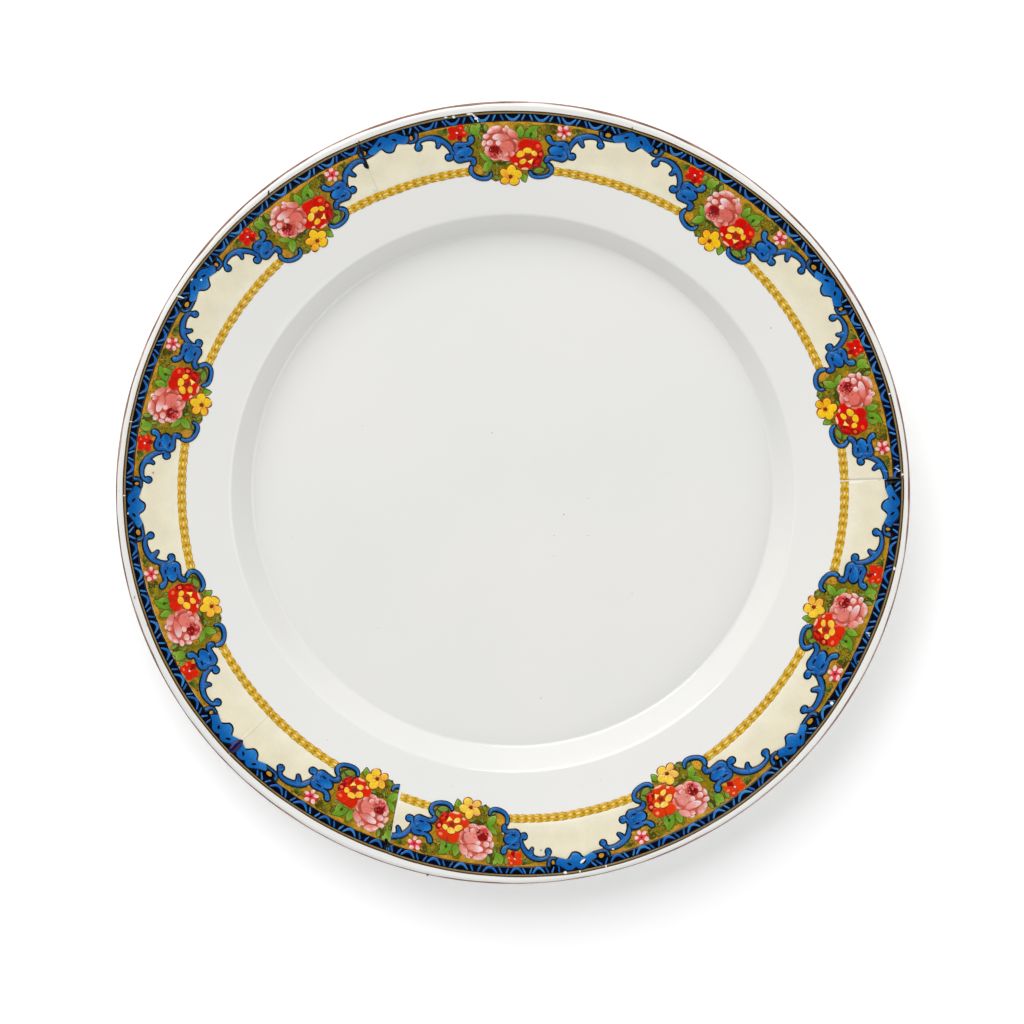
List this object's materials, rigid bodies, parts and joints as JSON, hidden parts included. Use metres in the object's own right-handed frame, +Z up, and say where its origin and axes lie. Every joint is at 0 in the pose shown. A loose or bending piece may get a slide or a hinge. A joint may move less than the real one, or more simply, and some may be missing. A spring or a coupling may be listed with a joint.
{
  "type": "china dinner plate",
  "caption": "Round rimmed china dinner plate with a printed floral border, cream panels, a gilt edge line and a foot ring.",
  "frame": {"origin": "on the table at the middle of the foot ring", "axes": "+Z up through the plate's middle, square to the table; the print's first join lies just past +X"},
  "size_m": [0.2503, 0.2502, 0.0229],
  "materials": {
    "fired_clay": "unglazed, slightly rough, seen only on the wiped foot ring",
    "glaze": "glossy cool white glaze with faint ripple and specks",
    "enamel_print": "glossy fired enamel colours: navy, blue, ochre, rose, red, yellow, green and cream",
    "gilding": "thin gilt, worn to a pinkish brown and broken in places"
  },
  "bodies": {
    "root": {"plate_body": "fired_clay", "outer_glaze": "glaze", "base_glaze": "glaze", "transfer_strip_1": "enamel_print", "transfer_strip_2": "enamel_print", "transfer_strip_3": "enamel_print", "transfer_strip_4": "enamel_print", "gilt_edge_line": "gilding"}
  },
  "joints": []
}
